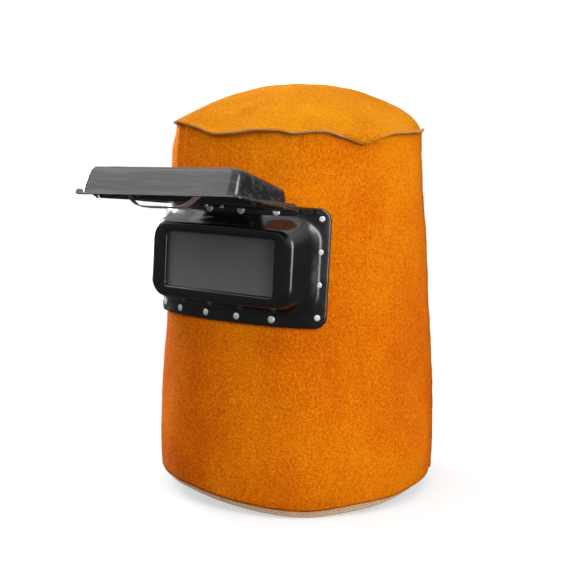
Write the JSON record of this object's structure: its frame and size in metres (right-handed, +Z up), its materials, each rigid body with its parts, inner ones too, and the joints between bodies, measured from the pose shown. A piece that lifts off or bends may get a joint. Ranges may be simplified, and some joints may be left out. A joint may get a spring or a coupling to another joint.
{
  "type": "leather welding hood",
  "caption": "Stiff suede leather welding hood, closed at the crown, with a riveted black metal window housing and a spring-held flip-up filter cover.",
  "frame": {"origin": "centre of the hem, on the surface the hood stands on", "axes": "+Z up, -Y the wearer's forward direction (the window faces -Y), +X to the wearer's left"},
  "size_m": [0.2192, 0.2858, 0.3152],
  "materials": {
    "back_leather": "suede split cowhide, yellow-orange",
    "backing_sheet": "satin black",
    "black_sheet": "gloss black baked enamel",
    "clear_glass": "clear",
    "coil_steel": "oiled brownish spring wire",
    "cover_black": "gloss black baked enamel",
    "dark_glass": "very dark green welding filter",
    "front_leather": "suede split cowhide, orange",
    "gasket_rubber": "matt black",
    "hem_tape": "woven beige binding tape",
    "hinge_black": "satin black",
    "lug_steel": "plain",
    "pin_steel": "plain",
    "post_steel": "plain",
    "rivet_steel": "nickel-plated",
    "spring_strip": "dull grey spring steel",
    "tinted_glass": "grey tinted",
    "washer_steel": "plain"
  },
  "bodies": {
    "hood": {"front_panel": "front_leather", "crown_back_panel": "back_leather", "hem_binding": "hem_tape", "lens_housing": "black_sheet", "backing_frame": "backing_sheet", "flange_rivets": "rivet_steel", "rivet_washers": "washer_steel", "window_gasket": "gasket_rubber", "window_clear_glass": "clear_glass", "window_tinted_glass": "tinted_glass", "window_glass_springs": "spring_strip", "window_spring_lugs": "lug_steel", "hinge_leaf_fixed": "hinge_black", "hinge_pin": "pin_steel", "housing_spring_tabs": "post_steel", "over_centre_spring_left": "coil_steel", "over_centre_spring_right": "coil_steel"},
    "flip_cover": {"flip_shell": "cover_black", "flip_gasket": "gasket_rubber", "flip_clear_glass": "clear_glass", "flip_dark_filter": "dark_glass", "flip_glass_spring": "spring_strip", "flip_spring_lugs": "lug_steel", "hinge_leaf_moving": "hinge_black", "flip_hinge_rivets": "rivet_steel", "flip_spring_eyelets": "post_steel"}
  },
  "joints": [
    {"name": "cover_hinge", "type": "hinge", "parent": "hood", "child": "flip_cover", "pos_m": [0, -0.10025, 0.23142], "axis": [1, 0, 0], "range_deg": [0, 97.5], "deforming": ["over_centre_spring_left", "over_centre_spring_right", "flip_glass_spring"]}
  ]
}
